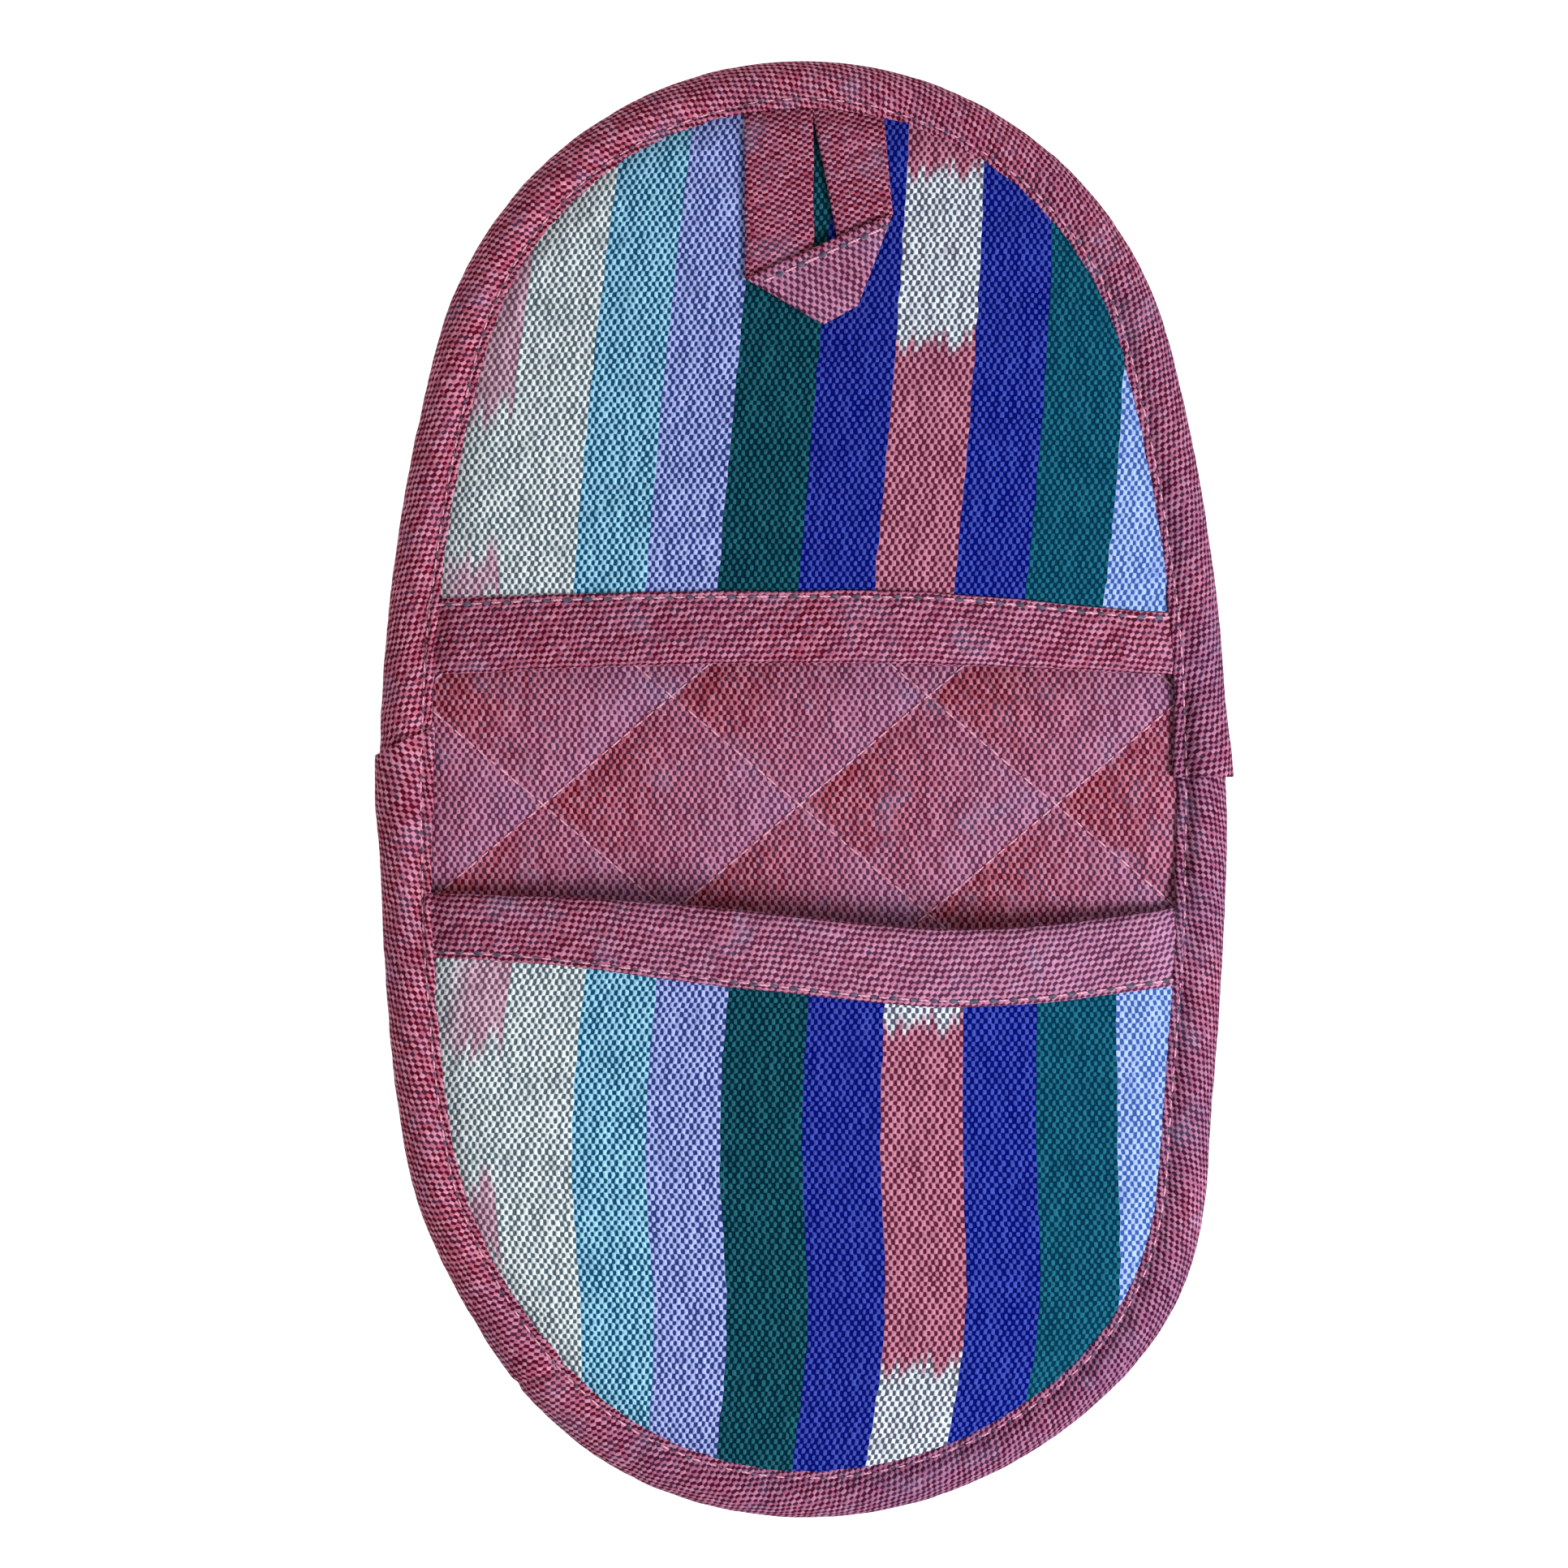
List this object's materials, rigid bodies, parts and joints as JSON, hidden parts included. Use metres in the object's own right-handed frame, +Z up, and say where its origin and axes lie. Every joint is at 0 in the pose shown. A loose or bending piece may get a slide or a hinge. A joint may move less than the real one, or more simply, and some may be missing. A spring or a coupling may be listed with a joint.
{
  "type": "pinch oven mitt",
  "caption": "Flat oval padded pinch mitt with a finger pocket and a thumb pocket facing each other, bound edge and a folded tape hanging loop.",
  "frame": {"origin": "centre of the length and width of the mitt, on the plane of its back, which it lies on", "axes": "+Z up, from the back to the pockets; +Y along the length, towards the finger end with the hanging loop; +X across the width"},
  "size_m": [0.1524, 0.2618, 0.0189],
  "materials": {
    "maroon_cloth": "plain weave cotton",
    "binding_cloth": "plain weave cotton tape",
    "striped_cloth": "warp-striped ikat plain weave cotton",
    "lining_cloth": "plain natural cotton",
    "wadding": "soft cotton wadding",
    "thread": "spun polyester sewing thread"
  },
  "bodies": {
    "palm": {"palm_front_cover": "maroon_cloth", "palm_wadding": "wadding", "palm_back_cover": "maroon_cloth", "palm_quilting_thread": "thread", "palm_left_binding": "binding_cloth", "palm_right_binding": "binding_cloth", "palm_edge_thread": "thread"},
    "finger_pad": {"finger_front_cover": "maroon_cloth", "finger_wadding": "wadding", "finger_back_cover": "maroon_cloth", "finger_quilting_thread": "thread", "finger_edge_binding": "binding_cloth", "finger_edge_thread": "thread"},
    "thumb_pad": {"thumb_front_cover": "maroon_cloth", "thumb_wadding": "wadding", "thumb_back_cover": "maroon_cloth", "thumb_quilting_thread": "thread", "thumb_edge_binding": "binding_cloth", "thumb_edge_thread": "thread"},
    "finger_pocket": {"finger_pocket_cover": "striped_cloth", "finger_pocket_wadding": "wadding", "finger_pocket_lining": "lining_cloth", "finger_pocket_hem": "binding_cloth", "finger_hem_thread": "thread"},
    "thumb_pocket": {"thumb_pocket_cover": "striped_cloth", "thumb_pocket_wadding": "wadding", "thumb_pocket_lining": "lining_cloth", "thumb_pocket_hem": "binding_cloth", "thumb_hem_thread": "thread"},
    "loop": {"hanging_loop": "binding_cloth", "loop_thread": "thread"}
  },
  "joints": [
    {"name": "finger_fold", "type": "hinge", "parent": "palm", "child": "finger_pad", "pos_m": [0, 0.01215, 0], "axis": [-1, 0, 0], "range_deg": [0, 95], "stiffness_Nm_per_rad": 0.03},
    {"name": "thumb_fold", "type": "hinge", "parent": "palm", "child": "thumb_pad", "pos_m": [0, -0.01215, 0], "axis": [1, 0, 0], "range_deg": [0, 95], "stiffness_Nm_per_rad": 0.03},
    {"name": "finger_mouth", "type": "hinge", "parent": "finger_pad", "child": "finger_pocket", "pos_m": [0, 0.1205, 0.00965], "axis": [-1, 0, 0], "range_deg": [0, 12], "stiffness_Nm_per_rad": 0.01},
    {"name": "thumb_mouth", "type": "hinge", "parent": "thumb_pad", "child": "thumb_pocket", "pos_m": [0, -0.1205, 0.00965], "axis": [1, 0, 0], "range_deg": [0, 12], "stiffness_Nm_per_rad": 0.01},
    {"name": "loop_swing", "type": "hinge", "parent": "finger_pocket", "child": "loop", "pos_m": [0, 0.1205, 0.00965], "axis": [-1, 0, 0], "range_deg": [0, 170]}
  ]
}
